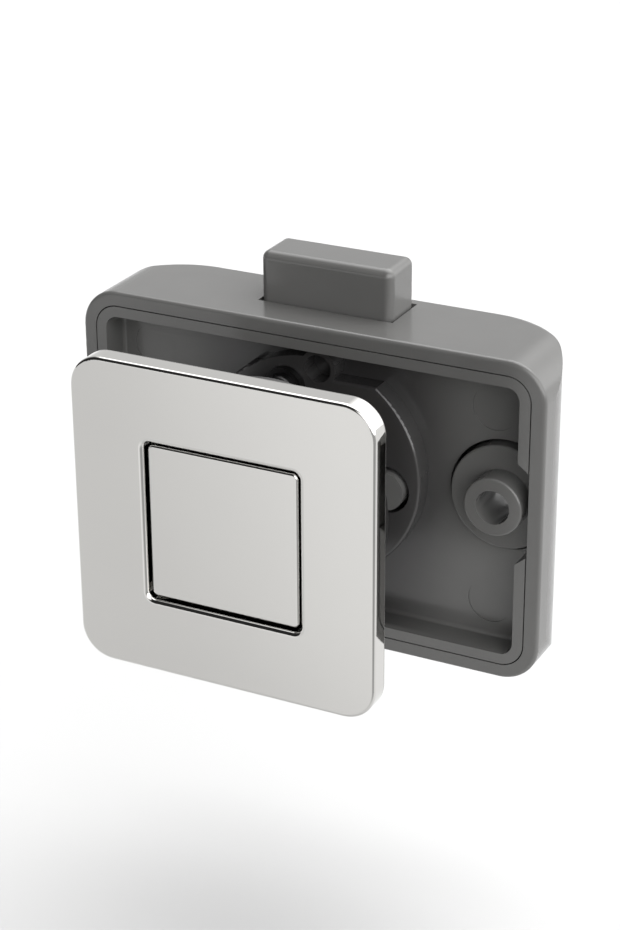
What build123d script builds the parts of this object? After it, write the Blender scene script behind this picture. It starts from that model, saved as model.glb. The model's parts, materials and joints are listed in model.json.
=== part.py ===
from build123d import *
import math
import os

# Push button cabinet lock, rim mounted, with a square push button in a square front plate.
# Millimetres. The origin is on the button's axis, in the plane where the case meets the door.
# +X is to the right, +Y is away from the door into the cabinet, +Z is towards the bolt's tip.
# The model stands at rest with the button pushed in and the bolt thrown.

# Travels. The bolt moves as far as the button, so its throw is the button's travel.
button_travel = 6.1
button_overtravel = 0.5

# Clearances
running_gap = 0.1
slide_gap = 0.2
loose_gap = 0.35
seat_gap = 0.05
overrun = 2.0

# Case shell
case_width = 60.3
case_height = 40.15
case_depth = 14.05
case_corner_radius = 4.8
case_rear_radius = 11.5
case_side_wall = 1.74
case_rear_wall = 1.8
case_rim_fillet = 0.5
case_rear_fillet = 1.0
case_centre_drop = 1.765

# Case tray, the liner that carries the hub
tray_seam_gap = 0.15
tray_rim_width = 1.3
tray_floor_depth = 4.0
tray_floor_wall = 1.2
tray_floor_fillet = 0.45
tray_boss_radius = 2.8
tray_sink_depth = 0.12
tray_boss_inset_x = 7.7
tray_boss_inset_z = 5.96
tray_notch_top_inner = 6.1
tray_notch_top_outer = 5.1
tray_notch_bottom_inner = 6.65
tray_notch_bottom_outer = 5.55

# Hub in the middle of the tray
hub_radius = 14.2
hub_face_depth = 1.5
hub_wall = 1.2
hub_flat_height = 11.4
hub_edge_fillet = 0.35
hub_step_x = 0.95
hub_lug_radius = 2.3
hub_lug_height = 12.5
hub_lug_hole_radius = 1.7

# Shell posts that stand in holes of the hub
post_radius = 2.4
post_spread = 9.9
post_drop = 1.2
post_gap = 0.55
post_proud = 0.6

# Door screw places and their spacer bushes
door_screw_inset = 6.15
door_screw_hole_radius = 2.1
door_screw_head_radius = 4.2
door_screw_head_seat = 2.6
bush_front_radius = 3.6
bush_flange_radius = 6.5
bush_flange_depth = 3.0
bush_flange_thickness = 2.0
bush_well_gap = 0.42
bush_rear_radius = 3.25
bush_seat_height = 5.75
bush_seat_radius = 6.2
bush_edge_fillet = 0.25

# Case screws, from the rear of the shell into the tray's corner bosses
case_screw_radius = 1.25
case_screw_head_radius = 2.3
case_screw_head_height = 1.3
case_screw_length = 5.5
case_boss_height = 1.85
case_boss_radius = 3.5
case_counterbore_depth = 1.3

# Bolt
bolt_width = 17.15
bolt_thickness = 6.4
bolt_front_depth = 5.41
bolt_edge_fillet = 1.0
bolt_shoulder_height = 11.8
bolt_slot_gap = 0.25
cheek_gap = 0.3
cheek_thickness = 1.65
cheek_bottom = 3.0
cheek_top = 9.6
guide_rib_thickness = 1.2
guide_rib_length = 5.4
guide_pad_length = 5.6

# Plunger and the cam pins that drive the bolt
plunger_radius = 4.5
plunger_collar_radius = 5.05
plunger_collar_length = 2.7
plunger_bore_radius = 3.1
plunger_bore_length = 17.5
cam_pin_radius = 0.8
cam_pin_inset = 0.2
cam_pin_depth = 9.8
cam_pin_rear_land = 0.9

# Threaded sleeve, its flange on the hub and its locknut
sleeve_wall = 1.3
sleeve_groove_pitch = 1.0
sleeve_groove_depth = 0.25
flange_collar_wall = 0.85
flange_collar_length = 2.0
flange_thickness = 1.0
flange_ear_radius = 2.5
hub_screw_x = 3.2
hub_screw_z = 9.7
hub_screw_radius = 1.1
hub_screw_head_radius = 1.85
hub_screw_head_height = 1.2
hub_screw_length = 4.4
hub_screw_boss_radius = 1.9
locknut_across_flats = 15.6
locknut_thickness = 1.8

# Front plate
door_thickness = 18.16
plate_side = 38.1
plate_thickness = 2.52
plate_corner_radius = 4.0
plate_edge_fillet = 0.4
opening_side = 19.7
opening_corner_radius = 0.9
opening_fillet = 0.55

# Button barrel behind the plate
barrel_radius = 14.8
barrel_length = 10.16
barrel_rear_wall = 1.8
barrel_edge_fillet = 0.4
barrel_lug_radius = 2.2
barrel_lug_place = 11.2
barrel_lug_length = 3.0
plate_screw_radius = 1.0
plate_screw_head_radius = 1.8
plate_screw_head_height = 1.2
plate_screw_engagement = 1.5

# Button
button_side = 19.0
button_corner_radius = 0.8
button_edge_fillet = 0.35
button_recess = 0.45
button_wall = 1.2
button_length = 9.73
core_rear_setback = 0.5
core_nose_wall = 2.4
core_channel_half = 3.9
core_channel_floor = 5.1
core_screw_radius = 1.25
core_screw_head_radius = 2.4
core_screw_head_height = 1.0
core_screw_length = 6.5

# Heart cam and its wire follower
cam_half_width = 3.7
cam_thickness = 1.6
cam_length = 7.0
cam_groove_depth = 0.9
cam_loop_half_width = 2.9
cam_front_wall = 0.45
cam_loop_length = 5.4
cam_loop_radius = 1.6
cam_entry_half_width = 0.55
heart_notch_back = 1.75
heart_lobe_back = 1.2
heart_lobe_half = 1.15
heart_shoulder_back = 2.5
heart_shoulder_half = 1.9
heart_point_back = 5.2
wire_radius = 0.35
wire_height = 7.25
wire_bend_radius = 0.8
wire_tip_back = 1.3
wire_tip_lift = 0.15
wire_anchor_depth = 1.2
wire_hole_gap = 0.05
leaf_thickness = 0.2
leaf_half_width = 1.6
leaf_length = 5.4
leaf_foot_reach = 6.4
leaf_foot_drop = 2.3
leaf_screw_radius = 0.6
leaf_screw_head_radius = 1.3
leaf_screw_head_height = 0.9

# Return spring
spring_wire_radius = 0.28
spring_coil_radius = 2.45
spring_turns = 12
points_per_turn = 16
spring_washer_radius = 4.2
spring_washer_thickness = 0.2

# Screw drives and small bevels
drive_depth_share = 0.55
drive_reach_share = 0.6
drive_width_share = 0.28
screw_point_share = 0.33
pin_bevel_share = 0.2
mouth_pick_share = 0.35

# Places worked out from the sizes above
case_centre_z = -case_centre_drop
case_top_z = case_centre_z + case_height / 2
case_bottom_z = case_centre_z - case_height / 2
rear_wall_front = case_depth - case_rear_wall
tray_inset = case_side_wall + tray_seam_gap
tray_floor_back = tray_floor_depth + tray_floor_wall
hub_back = hub_face_depth + hub_wall
door_screw_x = case_width / 2 - door_screw_inset
boss_x = case_width / 2 - tray_boss_inset_x
boss_reach_z = case_height / 2 - tray_boss_inset_z - case_side_wall
post_hole_radius = post_radius + post_gap
post_front = hub_face_depth - post_proud
bush_back = rear_wall_front - bush_seat_height
case_boss_front = rear_wall_front - case_boss_height
bolt_back_depth = bolt_front_depth + bolt_thickness
bolt_tip_z = case_top_z + button_travel
cheek_inner = plunger_collar_radius + cheek_gap
cheek_outer = cheek_inner + cheek_thickness
cheek_front = hub_back + slide_gap + running_gap
cheek_back = rear_wall_front - slide_gap
pin_slot_radius = cam_pin_radius + running_gap
plunger_back = cam_pin_depth + cam_pin_radius + cam_pin_rear_land
sleeve_inner = plunger_radius + running_gap
sleeve_outer = sleeve_inner + sleeve_wall
sleeve_bore = sleeve_outer + seat_gap
sleeve_back = hub_back - running_gap
flange_front = hub_face_depth - flange_thickness
collar_radius = sleeve_bore + flange_collar_wall
collar_front = flange_front - flange_collar_length
plate_back = -door_thickness
plate_front = plate_back - plate_thickness
barrel_back = plate_back + barrel_length
barrel_inner_back = barrel_back - barrel_rear_wall
guide_side = button_side + 2 * running_gap
guide_corner_radius = button_corner_radius + running_gap
button_front = plate_front + button_recess
button_back = button_front + button_length
cap_inner_front = button_front + button_wall
cap_inner_side = button_side - 2 * button_wall
core_side = cap_inner_side - 2 * running_gap
core_back = button_back - core_rear_setback
plunger_front = cap_inner_front + core_nose_wall
core_screw_seat = cap_inner_front + core_screw_head_height + running_gap
core_screw_tip = core_screw_seat + core_screw_length
cam_back = core_back + running_gap
cam_front = cam_back - cam_length
cam_top = core_channel_floor + cam_thickness
wire_tip_y = cam_front + wire_tip_back
leaf_bottom = wire_height + wire_radius + running_gap
washer_front = rear_wall_front - spring_washer_thickness
spring_front = plunger_back - plunger_bore_length

os.makedirs("parts", exist_ok=True)


def slab(outline, y_front, y_back):
    # Solid of an outline drawn in X and Z, from y_front to y_back.
    back_plane = Plane(origin=(0, y_back, 0), x_dir=(1, 0, 0), z_dir=(0, -1, 0))
    return extrude(back_plane * outline, amount=y_back - y_front)


def rod(radius, y_front, y_back, x=0, z=0):
    return slab(Pos(x, z) * Circle(radius), y_front, y_back)


def column(outline, z_bottom, z_top):
    # Solid of an outline drawn in X and Y, from z_bottom to z_top.
    return extrude(Pos(0, 0, z_bottom) * outline, amount=z_top - z_bottom)


def block(x_low, x_high, y_low, y_high, z_low, z_high):
    centre = Pos((x_low + x_high) / 2, (y_low + y_high) / 2, (z_low + z_high) / 2)
    return centre * Box(x_high - x_low, y_high - y_low, z_high - z_low)


def case_outline(inset):
    side = case_width - 2 * inset
    rise = case_height - 2 * inset
    return Pos(0, case_centre_z) * RectangleRounded(side, rise, case_corner_radius - inset)


def case_form(inset, rear_inset, y_front, rear_fillet=0):
    # The case's rounded front outline, swept back, and bounded by its large rear corners.
    y_back = case_depth - rear_inset
    swept = slab(case_outline(inset), y_front, y_back)
    plan = Pos(0, (y_front + y_back) / 2) * Rectangle(case_width - 2 * inset, y_back - y_front)
    plan = fillet(plan.vertices().group_by(Axis.Y)[-1], case_rear_radius - inset)
    upright = column(plan, case_bottom_z, case_top_z)
    if rear_fillet:
        upright = fillet(upright.edges().group_by(Axis.Y)[-1].filter_by(Axis.X), rear_fillet)
    return swept & upright


def boss_places():
    # The four corner bosses of the tray.
    return [
        (side * boss_x, case_centre_z + rise * boss_reach_z)
        for side in (-1, 1)
        for rise in (-1, 1)
    ]


def hub_screw_places():
    # Two places on the hub's face, opposite each other across the sleeve.
    return [(side * hub_screw_x, -side * hub_screw_z) for side in (-1, 1)]


def cross_drive(radius, depth):
    # Cross recess for a screw head whose face looks along -Y at y = 0.
    arm = radius * drive_reach_share
    half = radius * drive_width_share / 2
    upright = block(-half, half, -overrun, depth, -arm, arm)
    level = block(-arm, arm, -overrun, depth, -half, half)
    return upright + level


def pan_screw(head_radius, head_height, shank_radius, shank_length):
    # A pan head screw along +Y, its head's seat at y = 0.
    head = rod(head_radius, -head_height, 0)
    head = fillet(head.edges().group_by(Axis.Y)[0], head_height / 2)
    drive = Pos(0, -head_height, 0) * cross_drive(head_radius, head_height * drive_depth_share)
    shank = rod(shank_radius, 0, shank_length)
    shank = chamfer(shank.edges().group_by(Axis.Y)[-1], shank_radius * screw_point_share)
    return head - drive + shank


def make_case_shell():
    outer = case_form(0, 0, 0, case_rear_fillet)
    outer = fillet(outer.edges().group_by(Axis.Y)[0], case_rim_fillet)
    shell = outer - case_form(case_side_wall, case_rear_wall, -overrun)

    bosses = []
    for x, z in boss_places():
        bosses.append(rod(case_boss_radius, case_boss_front, case_depth, x, z))
    for side in (-1, 1):
        bosses.append(rod(bush_seat_radius, bush_back, case_depth, side * door_screw_x))
        bosses.append(rod(post_radius, post_front, case_depth, side * post_spread, -post_drop))
        rib_inner = bolt_width / 2 + slide_gap
        ribs = sorted([side * rib_inner, side * (rib_inner + guide_rib_thickness)])
        rib_top = case_top_z - case_side_wall / 2
        bosses.append(
            block(*ribs, tray_floor_back + loose_gap, case_depth, rib_top - guide_rib_length, rib_top)
        )
    pad_half = bolt_width / 2 - slide_gap
    pad_top = case_top_z - case_side_wall / 2
    pad_front = bolt_back_depth + slide_gap
    bosses.append(block(-pad_half, pad_half, pad_front, case_depth, pad_top - guide_pad_length, pad_top))
    inside = case_form(case_side_wall / 2, case_rear_wall / 2, -overrun)
    for boss in bosses:
        shell += boss & inside

    slot_half = bolt_width / 2 + bolt_slot_gap
    shell -= block(
        -slot_half,
        slot_half,
        bolt_front_depth - bolt_slot_gap,
        bolt_back_depth + bolt_slot_gap,
        case_top_z - case_side_wall - overrun / 2,
        case_top_z + overrun,
    )
    for x, z in boss_places():
        shell -= rod(case_screw_radius + running_gap, 0, case_depth + overrun, x, z)
        seat = case_boss_front + case_counterbore_depth
        shell -= rod(case_screw_head_radius + slide_gap, seat, case_depth + overrun, x, z)
    for side in (-1, 1):
        shell -= rod(door_screw_hole_radius, 0, case_depth + overrun, side * door_screw_x)
        seat = case_depth - door_screw_head_seat
        shell -= rod(door_screw_head_radius, seat, case_depth + overrun, side * door_screw_x)
    return shell


def hub_outline(inset):
    circle = Circle(hub_radius - inset)
    flat = hub_flat_height - inset
    below = Pos(0, (flat - hub_radius) / 2) * Rectangle(2 * hub_radius, flat + hub_radius)
    return circle & below


def hub_shoulder():
    # Left of the lug the hub's face runs on above its flat.
    side = hub_radius - hub_edge_fillet
    low = hub_flat_height - 2 * hub_edge_fillet
    corner = Pos((hub_step_x - side) / 2, (low + side) / 2) * Rectangle(hub_step_x + side, side - low)
    return Circle(side) & corner


def make_notch():
    # The tray's wall is left out beside each spacer bush, with slanted ends.
    lip = case_width / 2 - tray_inset - tray_rim_width
    inner = lip - overrun
    outer = lip + tray_rim_width + overrun
    run_on = overrun / tray_rim_width
    top = tray_notch_top_outer - (tray_notch_top_inner - tray_notch_top_outer) * run_on
    bottom = tray_notch_bottom_outer - (tray_notch_bottom_inner - tray_notch_bottom_outer) * run_on
    outline = Polygon(
        (inner, -tray_notch_bottom_inner),
        (lip, -tray_notch_bottom_inner),
        (outer, -bottom),
        (outer, top),
        (lip, tray_notch_top_inner),
        (inner, tray_notch_top_inner),
        align=None,
    )
    return slab(outline, -overrun, tray_floor_depth)


def make_case_tray():
    inner = case_outline(tray_inset + tray_rim_width)
    tray = slab(case_outline(tray_inset), 0, tray_floor_back)
    hollow = slab(inner, -overrun, tray_floor_depth)
    hollow = fillet(hollow.edges().group_by(Axis.Y)[-1], tray_floor_fillet)
    tray -= hollow
    for x, z in boss_places():
        tray += rod(tray_boss_radius, tray_floor_depth + tray_floor_wall / 2, case_boss_front, x, z)
    tray &= case_form(tray_inset, case_rear_wall + tray_seam_gap, -overrun)

    hub = slab(hub_outline(0), hub_face_depth, tray_floor_back)
    hub = fillet(hub.edges().group_by(Axis.Y)[0], hub_edge_fillet)
    tray += hub
    tray -= slab(hub_outline(hub_wall), hub_back, tray_floor_back + overrun)
    hub_inside = slab(hub_outline(hub_wall / 2), hub_face_depth, tray_floor_back)
    for x, z in hub_screw_places():
        tray += rod(hub_screw_boss_radius, hub_face_depth, tray_floor_back, x, z) & hub_inside
    tray += slab(hub_shoulder(), hub_face_depth, tray_floor_back)
    tray += rod(hub_lug_radius, hub_face_depth, tray_floor_back, hub_step_x, hub_lug_height)
    tray -= rod(hub_lug_hole_radius, -overrun, tray_floor_depth, hub_step_x, hub_lug_height)
    tray -= rod(sleeve_bore, -overrun, case_depth)
    notch = make_notch()
    tray -= notch
    tray -= mirror(notch, about=Plane.YZ)
    for side in (-1, 1):
        well_front = tray_floor_depth - overrun / 2
        tray -= rod(bush_flange_radius + bush_well_gap, well_front, case_depth, side * door_screw_x)
        tray -= rod(post_hole_radius, -overrun, case_depth, side * post_spread, -post_drop)
    for x, z in hub_screw_places():
        tray -= rod(hub_screw_radius + seat_gap, -overrun, case_depth, x, z)
    for x, z in boss_places():
        sink_back = tray_floor_depth + tray_sink_depth
        tray -= rod(tray_boss_radius, tray_floor_depth - overrun / 2, sink_back, x, z)
        pilot_front = case_boss_front - case_screw_length + case_counterbore_depth - slide_gap
        tray -= rod(case_screw_radius + seat_gap, pilot_front, case_depth, x, z)
    return tray


def make_spacer_bush(side):
    x = side * door_screw_x
    flange_back = bush_flange_depth + bush_flange_thickness
    front = rod(bush_front_radius, 0, flange_back, x)
    front = fillet(front.edges().group_by(Axis.Y)[0], bush_edge_fillet)
    flange = rod(bush_flange_radius, bush_flange_depth, flange_back, x)
    flange = fillet(flange.edges().group_by(Axis.Y)[0], bush_edge_fillet)
    wall_x = case_width / 2 - case_side_wall - loose_gap
    flange &= block(-wall_x, wall_x, 0, case_depth, -case_height, case_height)
    bush = front + flange + rod(bush_rear_radius, flange_back, bush_back, x)
    return bush - rod(door_screw_hole_radius, -overrun, case_depth, x)


def make_case_screws():
    screws = []
    seat = case_boss_front + case_counterbore_depth
    for x, z in boss_places():
        screw = pan_screw(
            case_screw_head_radius, case_screw_head_height, case_screw_radius, case_screw_length
        )
        screws.append(Pos(x, seat, z) * Rot(0, 0, 180) * screw)
    return Compound(children=screws)


def make_bolt():
    tongue = block(
        -bolt_width / 2,
        bolt_width / 2,
        bolt_front_depth,
        bolt_back_depth,
        bolt_shoulder_height,
        bolt_tip_z,
    )
    upright = tongue.edges().filter_by(Axis.Z)
    tongue = fillet(upright, bolt_edge_fillet)
    tongue = fillet(tongue.edges().group_by(Axis.Z)[-1], bolt_edge_fillet)
    bolt = tongue
    for side in (-1, 1):
        x_low, x_high = sorted([side * cheek_inner, side * cheek_outer])
        bolt += block(x_low, x_high, cheek_front, cheek_back, -cheek_bottom, cheek_top)
        bolt += block(
            x_low, x_high, bolt_front_depth, bolt_back_depth, cheek_top - slide_gap,
            bolt_shoulder_height + bolt_edge_fillet,
        )
    # Each slot starts just behind the pin's rest place and leaves through the cheek's front.
    # It slants at 45 degrees, so the bolt moves as far as the button.
    run = cam_pin_depth - cheek_front + overrun
    rear_y = cam_pin_depth + button_overtravel
    rear_z = -button_overtravel
    front_y = cam_pin_depth - run
    front_z = run
    length = math.hypot(rear_y - front_y, rear_z - front_z)
    middle = Pos(0, (rear_y + front_y) / 2, (rear_z + front_z) / 2)
    channel = Box(2 * case_width, length, 2 * pin_slot_radius)
    rear_end = Pos(0, length / 2, 0) * Rot(0, 90, 0) * Cylinder(pin_slot_radius, 2 * case_width)
    return bolt - middle * Rot(-45, 0, 0) * (channel + rear_end)


def make_plunger():
    body = rod(plunger_radius, plunger_front, plunger_back)
    collar_front_y = plunger_back - plunger_collar_length
    body += rod(plunger_collar_radius, collar_front_y, plunger_back)
    body -= rod(plunger_bore_radius, spring_front, plunger_back + overrun)
    body -= rod(core_screw_radius + seat_gap, plunger_front - overrun, core_screw_tip + running_gap)
    hole = Cylinder(cam_pin_radius + seat_gap / 2, 2 * case_width)
    cross = Pos(0, cam_pin_depth, 0) * Rot(0, 90, 0) * hole
    return body - cross


def make_cam_pin(side):
    inner = plunger_bore_radius + cam_pin_inset
    outer = cheek_outer - seat_gap
    length = outer - inner
    pin = Rot(0, 90, 0) * Cylinder(cam_pin_radius, length)
    pin = chamfer(pin.edges().filter_by(GeomType.CIRCLE), cam_pin_radius * pin_bevel_share)
    return Pos(side * (inner + outer) / 2, cam_pin_depth, 0) * pin


def make_threaded_sleeve():
    body = rod(sleeve_outer, barrel_inner_back, sleeve_back)
    body -= rod(sleeve_inner, barrel_inner_back - overrun, sleeve_back + overrun)
    # Ring grooves stand for the thread between the barrel and the flange.
    thread_start = barrel_back + sleeve_groove_pitch
    thread_end = collar_front - locknut_thickness - sleeve_groove_pitch
    count = int((thread_end - thread_start) / sleeve_groove_pitch)
    for index in range(count):
        groove_front = thread_start + index * sleeve_groove_pitch
        groove_back = groove_front + sleeve_groove_pitch / 2
        ring = rod(sleeve_outer + overrun, groove_front, groove_back)
        ring -= rod(sleeve_outer - sleeve_groove_depth, groove_front, groove_back)
        body -= ring
    return body


def flange_outline():
    outline = Circle(collar_radius)
    for x, z in hub_screw_places():
        outline += Pos(x, z) * Circle(flange_ear_radius)
        reach = math.hypot(x, z)
        turn = math.degrees(math.atan2(z, x))
        arm = Pos(x / 2, z / 2) * Rot(0, 0, turn) * Rectangle(reach, 2 * flange_ear_radius)
        outline += arm
    return outline


def make_sleeve_flange():
    body = slab(flange_outline(), flange_front, hub_face_depth)
    body += rod(collar_radius, collar_front, hub_face_depth)
    for x, z in hub_screw_places():
        body -= rod(hub_screw_radius + running_gap, collar_front, hub_back, x, z)
    for side in (-1, 1):
        body -= rod(post_hole_radius, collar_front, hub_back, side * post_spread, -post_drop)
    return body - rod(sleeve_bore, collar_front - overrun, hub_back)


def make_hub_screws():
    screws = []
    for x, z in hub_screw_places():
        screw = pan_screw(
            hub_screw_head_radius, hub_screw_head_height, hub_screw_radius, hub_screw_length
        )
        screws.append(Pos(x, flange_front, z) * screw)
    return Compound(children=screws)


def make_locknut():
    outline = RegularPolygon(locknut_across_flats / 2, 6, major_radius=False)
    front = collar_front - locknut_thickness
    nut = slab(outline, front, collar_front)
    return nut - rod(sleeve_bore, front - overrun, collar_front + overrun)


def lug_places():
    return [(side * barrel_lug_place, rise * barrel_lug_place) for side in (-1, 1) for rise in (-1, 1)]


def make_front_plate():
    plate = slab(RectangleRounded(plate_side, plate_side, plate_corner_radius), plate_front, plate_back)
    plate = fillet(plate.edges().group_by(Axis.Y)[0], plate_edge_fillet)
    opening = RectangleRounded(opening_side, opening_side, opening_corner_radius)
    plate -= slab(opening, plate_front - overrun, plate_back + overrun)
    mouth_edges = [
        edge
        for edge in plate.edges().group_by(Axis.Y)[0]
        if max(abs(edge.center().X), abs(edge.center().Z)) < plate_side * mouth_pick_share
    ]
    plate = fillet(mouth_edges, opening_fillet)
    for x, z in lug_places():
        bottom = plate_back - plate_screw_engagement - seat_gap
        plate -= rod(plate_screw_radius + seat_gap, bottom, plate_back + overrun, x, z)
    return plate


def make_button_barrel():
    barrel = rod(barrel_radius, plate_back, barrel_back)
    barrel = fillet(barrel.edges().group_by(Axis.Y)[-1], barrel_edge_fillet)
    lug_back = plate_back + barrel_lug_length
    for x, z in lug_places():
        barrel += rod(barrel_lug_radius, plate_back, lug_back, x, z)
    guide = RectangleRounded(guide_side, guide_side, guide_corner_radius)
    barrel -= slab(guide, plate_back - overrun, barrel_inner_back)
    barrel -= rod(sleeve_bore, plate_back, barrel_back + overrun)
    for x, z in lug_places():
        barrel -= rod(plate_screw_radius + running_gap, plate_back - overrun, lug_back + overrun, x, z)
        head_room = plate_screw_head_radius + slide_gap
        barrel -= rod(head_room, lug_back, barrel_back + overrun, x, z)
    hole_front = barrel_inner_back - overrun
    hole_back = barrel_back + overrun
    barrel -= rod(wire_radius + wire_hole_gap, hole_front, hole_back, 0, wire_height)
    leaf_x, leaf_z = leaf_screw_place()
    return barrel - rod(leaf_screw_radius + wire_hole_gap, hole_front, hole_back, leaf_x, leaf_z)


def make_plate_screws():
    screws = []
    length = barrel_lug_length + plate_screw_engagement
    for x, z in lug_places():
        screw = pan_screw(plate_screw_head_radius, plate_screw_head_height, plate_screw_radius, length)
        screws.append(Pos(x, plate_back + barrel_lug_length, z) * Rot(0, 0, 180) * screw)
    return Compound(children=screws)


def make_button_cap():
    outline = RectangleRounded(button_side, button_side, button_corner_radius)
    cap = slab(outline, button_front, button_back)
    cap = fillet(cap.edges().group_by(Axis.Y)[0], button_edge_fillet)
    inner = Rectangle(cap_inner_side, cap_inner_side)
    return cap - slab(inner, cap_inner_front, button_back + overrun)


def make_button_core():
    core = slab(Rectangle(core_side, core_side), cap_inner_front, core_back)
    core -= block(
        -core_channel_half, core_channel_half, cam_front - loose_gap, core_back + overrun,
        core_channel_floor, core_side,
    )
    core -= rod(plunger_radius + seat_gap, plunger_front, core_back + overrun)
    core -= rod(core_screw_radius + running_gap, cap_inner_front - overrun, core_back)
    head_room = core_screw_head_radius + running_gap
    return core - rod(head_room, cap_inner_front - overrun, core_screw_seat)


def make_core_screw():
    screw = pan_screw(core_screw_head_radius, core_screw_head_height, core_screw_radius, core_screw_length)
    return Pos(0, core_screw_seat, 0) * screw


def heart_island():
    # Heart shaped island, its notch towards the button's face and its point towards the rear.
    right = [
        (heart_lobe_half, cam_front + heart_lobe_back),
        (heart_shoulder_half, cam_front + heart_shoulder_back),
    ]
    left = [(-x, y) for x, y in reversed(right)]
    points = [(0, cam_front + heart_notch_back)] + right + [(0, cam_front + heart_point_back)] + left
    return Polygon(*points, align=None)


def make_heart_cam():
    cam_middle = (cam_front + cam_back) / 2
    plate = Pos(0, cam_middle) * Rectangle(2 * cam_half_width, cam_length)
    cam = column(plate, core_channel_floor, cam_top)
    loop_front = cam_front + cam_front_wall
    loop = Pos(0, loop_front + cam_loop_length / 2) * RectangleRounded(
        2 * cam_loop_half_width, cam_loop_length, cam_loop_radius
    )
    entry_length = cam_back - loop_front
    entry_middle = Pos(0, loop_front + entry_length / 2 + overrun)
    entry = entry_middle * Rectangle(2 * cam_entry_half_width, entry_length)
    track = loop + entry - heart_island()
    return cam - column(track, cam_top - cam_groove_depth, cam_top + overrun)


def make_latch_wire():
    tip_z = cam_top - cam_groove_depth + wire_tip_lift
    route = FilletPolyline(
        (0, barrel_inner_back + wire_anchor_depth, wire_height),
        (0, wire_tip_y, wire_height),
        (0, wire_tip_y, tip_z),
        radius=wire_bend_radius,
    )
    start = Plane(origin=route @ 0, z_dir=route % 0)
    return sweep(start * Circle(wire_radius), path=route)


def leaf_screw_place():
    return (leaf_foot_reach - leaf_screw_head_radius, leaf_bottom - leaf_foot_drop / 2)


def make_keeper_leaf():
    strip_front = barrel_inner_back - leaf_length
    strip = block(
        -leaf_half_width, leaf_half_width, strip_front, barrel_inner_back,
        leaf_bottom, leaf_bottom + leaf_thickness,
    )
    foot = block(
        -leaf_half_width, leaf_foot_reach, barrel_inner_back - leaf_thickness, barrel_inner_back,
        leaf_bottom - leaf_foot_drop, leaf_bottom + leaf_thickness,
    )
    leaf = strip + foot
    hole_front = barrel_inner_back - overrun / 2
    hole_back = barrel_inner_back + overrun
    leaf -= rod(sleeve_bore + running_gap, hole_front, hole_back)
    leaf -= rod(wire_radius + wire_hole_gap, hole_front, hole_back, 0, wire_height)
    leaf_x, leaf_z = leaf_screw_place()
    return leaf - rod(leaf_screw_radius + wire_hole_gap, hole_front, hole_back, leaf_x, leaf_z)


def make_leaf_screw():
    leaf_x, leaf_z = leaf_screw_place()
    length = barrel_rear_wall + leaf_thickness
    screw = pan_screw(leaf_screw_head_radius, leaf_screw_head_height, leaf_screw_radius, length)
    return Pos(leaf_x, barrel_back, leaf_z) * Rot(0, 0, 180) * screw


def coil_point(angle, y):
    return (spring_coil_radius * math.cos(angle), y, spring_coil_radius * math.sin(angle))


def least_coil_gap(path):
    # Least clear distance between points of the coil that lie more than half a turn apart.
    steps = spring_turns * points_per_turn
    points = [path @ (index / steps) for index in range(steps + 1)]
    apart = min(
        (points[first] - points[second]).length
        for first in range(len(points))
        for second in range(first + points_per_turn // 2, len(points))
    )
    return apart - 2 * spring_wire_radius


def make_return_spring():
    # Half turns through points of a helix; neighbouring half turns share their tangent.
    y_start = spring_front + spring_wire_radius + seat_gap
    y_end = washer_front - spring_wire_radius - seat_gap
    pitch = (y_end - y_start) / spring_turns
    arcs = []
    for index in range(2 * spring_turns):
        start_angle = index * math.pi
        start_y = y_start + index * pitch / 2
        arcs.append(
            Edge.make_three_point_arc(
                coil_point(start_angle, start_y),
                coil_point(start_angle + math.pi / 2, start_y + pitch / 4),
                coil_point(start_angle + math.pi, start_y + pitch / 2),
            )
        )
    path = Wire(arcs)
    section = Plane(origin=path @ 0, z_dir=path % 0) * Circle(spring_wire_radius)
    print("return_spring least gap between turns", round(least_coil_gap(path), 3))
    return sweep(section, path=path)


def make_spring_washer():
    washer = rod(spring_washer_radius, washer_front, rear_wall_front)
    return washer - rod(spring_coil_radius / 2, washer_front - overrun, rear_wall_front + overrun)


pieces = {
    "case_shell": make_case_shell(),
    "case_tray": make_case_tray(),
    "case_screws": make_case_screws(),
    "spacer_bush_left": make_spacer_bush(-1),
    "spacer_bush_right": make_spacer_bush(1),
    "bolt": make_bolt(),
    "plunger": make_plunger(),
    "cam_pin_left": make_cam_pin(-1),
    "cam_pin_right": make_cam_pin(1),
    "threaded_sleeve": make_threaded_sleeve(),
    "sleeve_flange": make_sleeve_flange(),
    "hub_screws": make_hub_screws(),
    "locknut": make_locknut(),
    "front_plate": make_front_plate(),
    "button_barrel": make_button_barrel(),
    "plate_screws": make_plate_screws(),
    "button_cap": make_button_cap(),
    "button_core": make_button_core(),
    "core_screw": make_core_screw(),
    "heart_cam": make_heart_cam(),
    "latch_wire": make_latch_wire(),
    "keeper_leaf": make_keeper_leaf(),
    "leaf_screw": make_leaf_screw(),
    "return_spring": make_return_spring(),
    "spring_washer": make_spring_washer(),
}

for node, shape in pieces.items():
    export_step(shape, "parts/" + node + ".step")
    print(node, "volume", round(shape.volume, 2))
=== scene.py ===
import bpy
import json
from mathutils import Matrix, Vector

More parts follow.
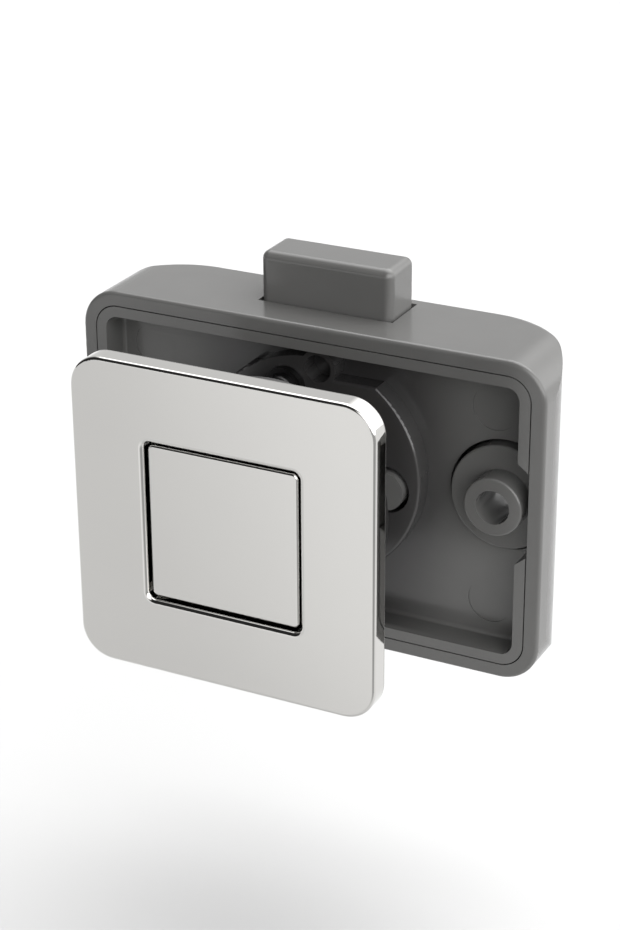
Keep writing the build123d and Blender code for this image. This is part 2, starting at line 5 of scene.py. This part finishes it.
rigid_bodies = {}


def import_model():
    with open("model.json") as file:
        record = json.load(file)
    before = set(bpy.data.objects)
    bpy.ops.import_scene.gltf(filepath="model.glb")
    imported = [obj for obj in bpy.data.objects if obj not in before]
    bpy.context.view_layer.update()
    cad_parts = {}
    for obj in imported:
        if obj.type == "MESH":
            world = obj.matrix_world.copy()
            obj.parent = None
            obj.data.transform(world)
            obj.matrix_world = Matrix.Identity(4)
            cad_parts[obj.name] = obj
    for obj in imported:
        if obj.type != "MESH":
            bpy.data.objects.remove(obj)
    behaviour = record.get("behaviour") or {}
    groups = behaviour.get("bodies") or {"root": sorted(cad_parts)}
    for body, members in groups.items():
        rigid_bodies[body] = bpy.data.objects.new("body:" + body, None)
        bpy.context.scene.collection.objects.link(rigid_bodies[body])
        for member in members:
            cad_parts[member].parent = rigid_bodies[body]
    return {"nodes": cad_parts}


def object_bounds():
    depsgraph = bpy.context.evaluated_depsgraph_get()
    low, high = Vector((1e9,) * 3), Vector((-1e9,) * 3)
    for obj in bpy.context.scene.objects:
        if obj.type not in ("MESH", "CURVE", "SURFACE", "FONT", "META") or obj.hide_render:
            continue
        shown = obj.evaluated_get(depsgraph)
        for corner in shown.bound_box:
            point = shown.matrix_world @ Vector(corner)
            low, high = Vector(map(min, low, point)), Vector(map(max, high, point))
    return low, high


# Push button cabinet lock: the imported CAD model, dressed with finishes, light and a camera.
# Metres. +X right, +Y away from the door, +Z towards the bolt's tip, origin on the button's axis.

for leftOver in list(bpy.data.objects):
    bpy.data.objects.remove(leftOver)

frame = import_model()
cadLow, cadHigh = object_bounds()
nodes = frame["nodes"]
print("stage: frame loaded,", len(nodes), "nodes")


class Link:
    # A node's output, so that sums on it can be written as plain expressions
    def __init__(self, maker, socket):
        self.maker = maker
        self.socket = socket

    def join(self, operation, first, second):
        return self.maker.add("ShaderNodeMath", {"operation": operation}, {0: first, 1: second})

    def __add__(self, other):
        return self.join("ADD", self, other)

    def __radd__(self, other):
        return self.join("ADD", other, self)

    def __sub__(self, other):
        return self.join("SUBTRACT", self, other)

    def __rsub__(self, other):
        return self.join("SUBTRACT", other, self)

    def __mul__(self, other):
        return self.join("MULTIPLY", self, other)

    def __rmul__(self, other):
        return self.join("MULTIPLY", other, self)


class Maker:
    # Adds nodes to one tree, of a material or of the world
    def __init__(self, tree):
        self.tree = tree
        self.tree.nodes.clear()

    def fill(self, socket, value):
        if isinstance(value, Link):
            self.tree.links.new(value.socket, socket)
        elif hasattr(value, "__len__") and len(value) < len(socket.default_value):
            socket.default_value = (*value, 1.0)
        else:
            socket.default_value = value

    def add(self, kind, settings=None, sockets=None, output=0):
        node = self.tree.nodes.new(kind)
        for name, value in (settings or {}).items():
            setattr(node, name, value)
        for name, value in (sockets or {}).items():
            self.fill(node.inputs[name], value)
        return Link(self, node.outputs[output]) if node.outputs else None

    def place(self, kind="Object"):
        return self.add("ShaderNodeTexCoord", output=kind)

    def along(self, axis, kind="Object"):
        return self.add("ShaderNodeSeparateXYZ", sockets={0: self.place(kind)}, output=axis)

    def facing(self, direction, kind="Object"):
        sockets = {0: self.place(kind), 1: direction}
        return self.add("ShaderNodeVectorMath", {"operation": "DOT_PRODUCT"}, sockets, "Value")

    def distance(self, stretch):
        # Distance from the button's axis, with each axis stretched
        sockets = {0: self.place(), 1: stretch}
        stretched = self.add("ShaderNodeVectorMath", {"operation": "MULTIPLY"}, sockets)
        return self.add("ShaderNodeVectorMath", {"operation": "LENGTH"}, {0: stretched}, "Value")

    def noise(self, scale, detail, stretch=(1.0, 1.0, 1.0)):
        place = self.add("ShaderNodeMapping", sockets={"Vector": self.place(), "Scale": stretch})
        return self.add("ShaderNodeTexNoise", sockets={"Vector": place, "Scale": scale, "Detail": detail})

    def spread(self, value, low, high):
        # Smooth step from 0 at low to 1 at high
        sockets = {"Value": value, "From Min": low, "From Max": high}
        return self.add("ShaderNodeMapRange", {"interpolation_type": "SMOOTHSTEP"}, sockets)

    def blendColour(self, factor, first, second):
        sockets = {0: factor, 6: first, 7: second}
        return self.add("ShaderNodeMix", {"data_type": "RGBA"}, sockets, output=2)

    def bump(self, height, distance):
        return self.add("ShaderNodeBump", sockets={"Height": height, "Distance": distance})


def newFinish(name):
    material = bpy.data.materials.new(name)
    material.use_nodes = True
    return material, Maker(material.node_tree)


def close(maker, **sockets):
    # The principled shader and the output, with the shader's sockets by name
    inputs = {name.replace("_", " "): value for name, value in sockets.items()}
    shader = maker.add("ShaderNodeBsdfPrincipled", sockets=inputs)
    maker.add("ShaderNodeOutputMaterial", sockets={"Surface": shader})


# Moulded grey plastic of the case, tray, bushes and bolt. The tray carries painted shade round its hub: its
# colour is darkened near the hub, deep in the recess
greyPlastic = {
    "dark": (0.092, 0.091, 0.089),
    "light": (0.106, 0.105, 0.102),
    "cloud": (120.0, 4.0),  # scale and detail of a noise, here and below
    "roughness": 0.18,
    "wear": (420.0, 5.0),
    "wearFrom": 0.35,
    "wearTo": 0.75,
    "wearRoughness": 0.06,
    "grain": (2600.0, 3.0),
    "grainHeight": 0.000003,
    "refraction": 1.49,
    # Painted shade round the hub: its colour, its strength, and how far it reaches from the axis and into
    # the recess
    "hubPaintedShade": (0.024, 0.023, 0.0235),
    "hubPaintedShadeAmount": 0.90,
    "hubStretch": (1.0, 0.0, 0.55),
    "hubFrom": 0.0105,
    "hubTo": 0.0215,
    "hubDepthFrom": 0.0004,
    "hubDepthTo": 0.0014,
}


def makeGreyPlastic(name, paintedShade):
    look = greyPlastic
    material, maker = newFinish(name)
    colour = maker.blendColour(maker.noise(*look["cloud"]), look["dark"], look["light"])
    wear = maker.spread(maker.noise(*look["wear"]), look["wearFrom"], look["wearTo"])
    grain = maker.noise(*look["grain"])
    # Painted shade: the colour darkens near the hub and behind the rim's front, where shade falls
    if paintedShade:
        near = 1.0 - maker.spread(maker.distance(look["hubStretch"]), look["hubFrom"], look["hubTo"])
        deep = maker.spread(maker.along("Y"), look["hubDepthFrom"], look["hubDepthTo"])
        colour = maker.blendColour(near * deep * look["hubPaintedShadeAmount"], colour, look["hubPaintedShade"])
    close(
        maker,
        Base_Color=colour,
        Roughness=look["roughness"] + wear * look["wearRoughness"],
        Normal=maker.bump(grain, look["grainHeight"]),
        IOR=look["refraction"],
    )
    return material


# Polished chrome of the button and the plate's front. Plate and barrel are dull cast metal behind
chrome = {
    "tint": (0.640, 0.632, 0.612),
    "tintDeep": (0.610, 0.602, 0.585),
    "cloud": (60.0, 3.0),
    "roughness": 0.035,
    "scuff": (900.0, 4.0),
    "scuffStretch": (1.0, 1.0, 6.0),
    "scuffFrom": 0.55,
    "scuffTo": 0.85,
    "scuffRoughness": 0.03,
    "ripple": (160.0, 2.0),
    "rippleHeight": 0.0000012,
    "castTint": (0.085, 0.084, 0.083),
    "castRoughness": 0.42,
    "castFrom": -0.0184,
    "castTo": -0.0180,
}


def makeChrome(name, castBehind):
    material, maker = newFinish(name)
    scuff = maker.noise(*chrome["scuff"], chrome["scuffStretch"])
    scuff = maker.spread(scuff, chrome["scuffFrom"], chrome["scuffTo"])
    tint = maker.blendColour(maker.noise(*chrome["cloud"]), chrome["tint"], chrome["tintDeep"])
    roughness = chrome["roughness"] + scuff * chrome["scuffRoughness"]
    if castBehind:
        behind = maker.spread(maker.along("Y"), chrome["castFrom"], chrome["castTo"])
        tint = maker.blendColour(behind, tint, chrome["castTint"])
        roughness = roughness + behind * chrome["castRoughness"]
    ripple = maker.bump(maker.noise(*chrome["ripple"]), chrome["rippleHeight"])
    close(maker, Base_Color=tint, Metallic=1.0, Roughness=roughness, Normal=ripple)
    return material


# Metals inside and behind: zinc plated screws, spring steel, turned brass and blackened steel
metals = {
    "cloud": (500.0, 4.0),
    "rings": (300.0, 3.0),
    "ringStretch": (1.0, 30.0, 1.0),
    "ringRoughness": 0.14,
    "ringHeight": 0.000004,
    "looks": {
        "zincPlate": {"tint": (0.60, 0.60, 0.61), "deep": (0.46, 0.47, 0.49), "roughness": 0.28},
        "springSteel": {"tint": (0.50, 0.50, 0.51), "deep": (0.38, 0.38, 0.40), "roughness": 0.24},
        "turnedBrass": {"tint": (0.72, 0.56, 0.30), "deep": (0.60, 0.45, 0.22), "roughness": 0.26},
        "blackenedSteel": {"tint": (0.075, 0.074, 0.074), "deep": (0.045, 0.044, 0.045), "roughness": 0.30},
    },
}


def makeMetal(name):
    look = metals["looks"][name]
    material, maker = newFinish(name)
    rings = maker.noise(*metals["rings"], metals["ringStretch"])
    close(
        maker,
        Base_Color=maker.blendColour(maker.noise(*metals["cloud"]), look["deep"], look["tint"]),
        Metallic=1.0,
        Roughness=look["roughness"] + rings * metals["ringRoughness"],
        Normal=maker.bump(rings, metals["ringHeight"]),
    )
    return material


# Hidden plastics: the black core and the white plunger and cam
plastics = {
    "cloud": (200.0, 4.0),
    "cloudRoughness": 0.08,
    "grain": (2400.0, 3.0),
    "grainHeight": 0.00001,
    "looks": {
        "blackCore": {"tint": (0.030, 0.030, 0.032), "deep": (0.018, 0.018, 0.020), "roughness": 0.42},
        "whiteAcetal": {"tint": (0.72, 0.71, 0.67), "deep": (0.64, 0.63, 0.59), "roughness": 0.36},
    },
}


def makePlastic(name):
    look = plastics["looks"][name]
    material, maker = newFinish(name)
    cloud = maker.noise(*plastics["cloud"])
    close(
        maker,
        Base_Color=maker.blendColour(cloud, look["deep"], look["tint"]),
        Roughness=look["roughness"] + cloud * plastics["cloudRoughness"],
        Normal=maker.bump(maker.noise(*plastics["grain"]), plastics["grainHeight"]),
    )
    return material


slotFinishes = {
    "grey_plastic": makeGreyPlastic("mouldedGreyPlastic", False),
    "chrome_plate": makeChrome("polishedChrome", False),
    "zinc_steel": makeMetal("zincPlate"),
    "spring_steel": makeMetal("springSteel"),
    "brass_parts": makeMetal("turnedBrass"),
    "dark_steel": makeMetal("blackenedSteel"),
    "black_plastic": makePlastic("blackCore"),
    "white_plastic": makePlastic("whiteAcetal"),
}
chromeOverCast = makeChrome("chromeOverCast", True)
# Grey plastic with painted shade round the hub, used for the tray
paintedShadePlastic = makeGreyPlastic("paintedShadeGreyPlastic", True)
nodeFinishes = {
    "front_plate": chromeOverCast,
    "button_barrel": chromeOverCast,
    "case_tray": paintedShadePlastic,
}
for name, node in nodes.items():
    for slot in node.material_slots:
        slot.material = nodeFinishes.get(name) or slotFinishes[slot.material.name.split(".")[0]]
print("stage: finishes on the CAD nodes")


# Floor of the studio, well below the case. Its tints are what the plate's chrome mirrors
floor = {
    "reach": 4.0,
    "drop": 0.035,
    "bright": (0.51, 0.51, 0.51),
    "near": (0.54, 0.54, 0.54),
    "far": (0.42, 0.42, 0.42),
    "fadeTowards": (0.8, -0.6, 0.0),
    "fadeFrom": 0.008,
    "fadeTo": 0.060,
    "frontFrom": -0.080,
    "frontTo": -0.025,
    "shade": (0.20, 0.20, 0.20),
    "shadeFrom": -0.010,
    "shadeTo": 0.060,
    "roughness": 0.8,
    "specular": 0.1,
}


def makeFloor():
    height = cadLow.z - floor["drop"]
    reach = floor["reach"]
    corners = [(x * reach, y * reach, height) for x, y in ((-1, -1), (1, -1), (1, 1), (-1, 1))]
    mesh = bpy.data.meshes.new("studioFloor")
    mesh.from_pydata(corners, [], [(0, 1, 2, 3)])
    item = bpy.data.objects.new("studioFloor", mesh)
    bpy.context.scene.collection.objects.link(item)
    material, maker = newFinish("paleFloor")
    fade = maker.spread(maker.facing(floor["fadeTowards"]), floor["fadeFrom"], floor["fadeTo"])
    shade = maker.spread(maker.along("X"), floor["shadeFrom"], floor["shadeTo"])
    behind = maker.spread(maker.along("Y"), floor["frontFrom"], floor["frontTo"])
    tint = maker.blendColour(fade, floor["far"], floor["near"])
    tint = maker.blendColour(shade, tint, floor["shade"])
    tint = maker.blendColour(behind, tint, floor["bright"])
    close(maker, Base_Color=tint, Roughness=floor["roughness"], Specular_IOR_Level=floor["specular"])
    mesh.materials.append(material)


makeFloor()


# Light: a dim dome that grows brighter behind, with three broad soft lamps in it
dome = {
    "ambient": 0.03,
    "behind": 0.80,
    "behindFrom": -0.10,
    "behindTo": 0.65,
    "lamps": {
        "overhead": {"strength": 4.1, "towards": (0.05, 0.35, 0.93), "from": 0.69, "to": 0.97},
        "side": {"strength": 1.6, "towards": (0.84, 0.48, 0.25), "from": 0.62, "to": 0.95},
        "front": {"strength": 4.25, "towards": (0.77, -0.61, 0.19), "from": 0.55, "to": 1.00},
    },
}


def makeDome():
    world = bpy.data.worlds.new("softDome")
    bpy.context.scene.world = world
    world.use_nodes = True
    maker = Maker(world.node_tree)
    behind = maker.spread(maker.along("Y", "Generated"), dome["behindFrom"], dome["behindTo"])
    strength = dome["ambient"] + behind * dome["behind"]
    for lamp in dome["lamps"].values():
        facing = maker.facing(Vector(lamp["towards"]).normalized(), "Generated")
        strength = strength + maker.spread(facing, lamp["from"], lamp["to"]) * lamp["strength"]
    background = maker.add("ShaderNodeBackground", sockets={"Color": (1.0, 1.0, 1.0), "Strength": strength})
    maker.add("ShaderNodeOutputWorld", sockets={"Surface": background})


makeDome()
bpy.context.scene.view_settings.view_transform = "Standard"
print("stage: floor and light")


# Camera, at the photograph's place and angle
camera = {
    "place": (0.116810, -0.227041, 0.115747),
    "rightward": (0.89145, 0.45307, -0.00610),
    "downward": (0.18130, -0.36899, -0.91158),
    "lens": 91.45,
    "sensor": 36.0,
    "clipStart": 0.01,
    "clipEnd": 20.0,
}


def makeCamera():
    data = bpy.data.cameras.new("photoCamera")
    data.lens = camera["lens"]
    data.sensor_width = camera["sensor"]
    data.sensor_fit = "AUTO"
    data.clip_start = camera["clipStart"]
    data.clip_end = camera["clipEnd"]
    item = bpy.data.objects.new("photoCamera", data)
    bpy.context.scene.collection.objects.link(item)
    right = Vector(camera["rightward"])
    down = Vector(camera["downward"])
    forward = right.cross(down)
    turn = Matrix((right, -down, -forward)).transposed()
    item.matrix_world = Matrix.Translation(camera["place"]) @ turn.to_4x4()
    bpy.context.scene.camera = item


makeCamera()
print("stage: camera")
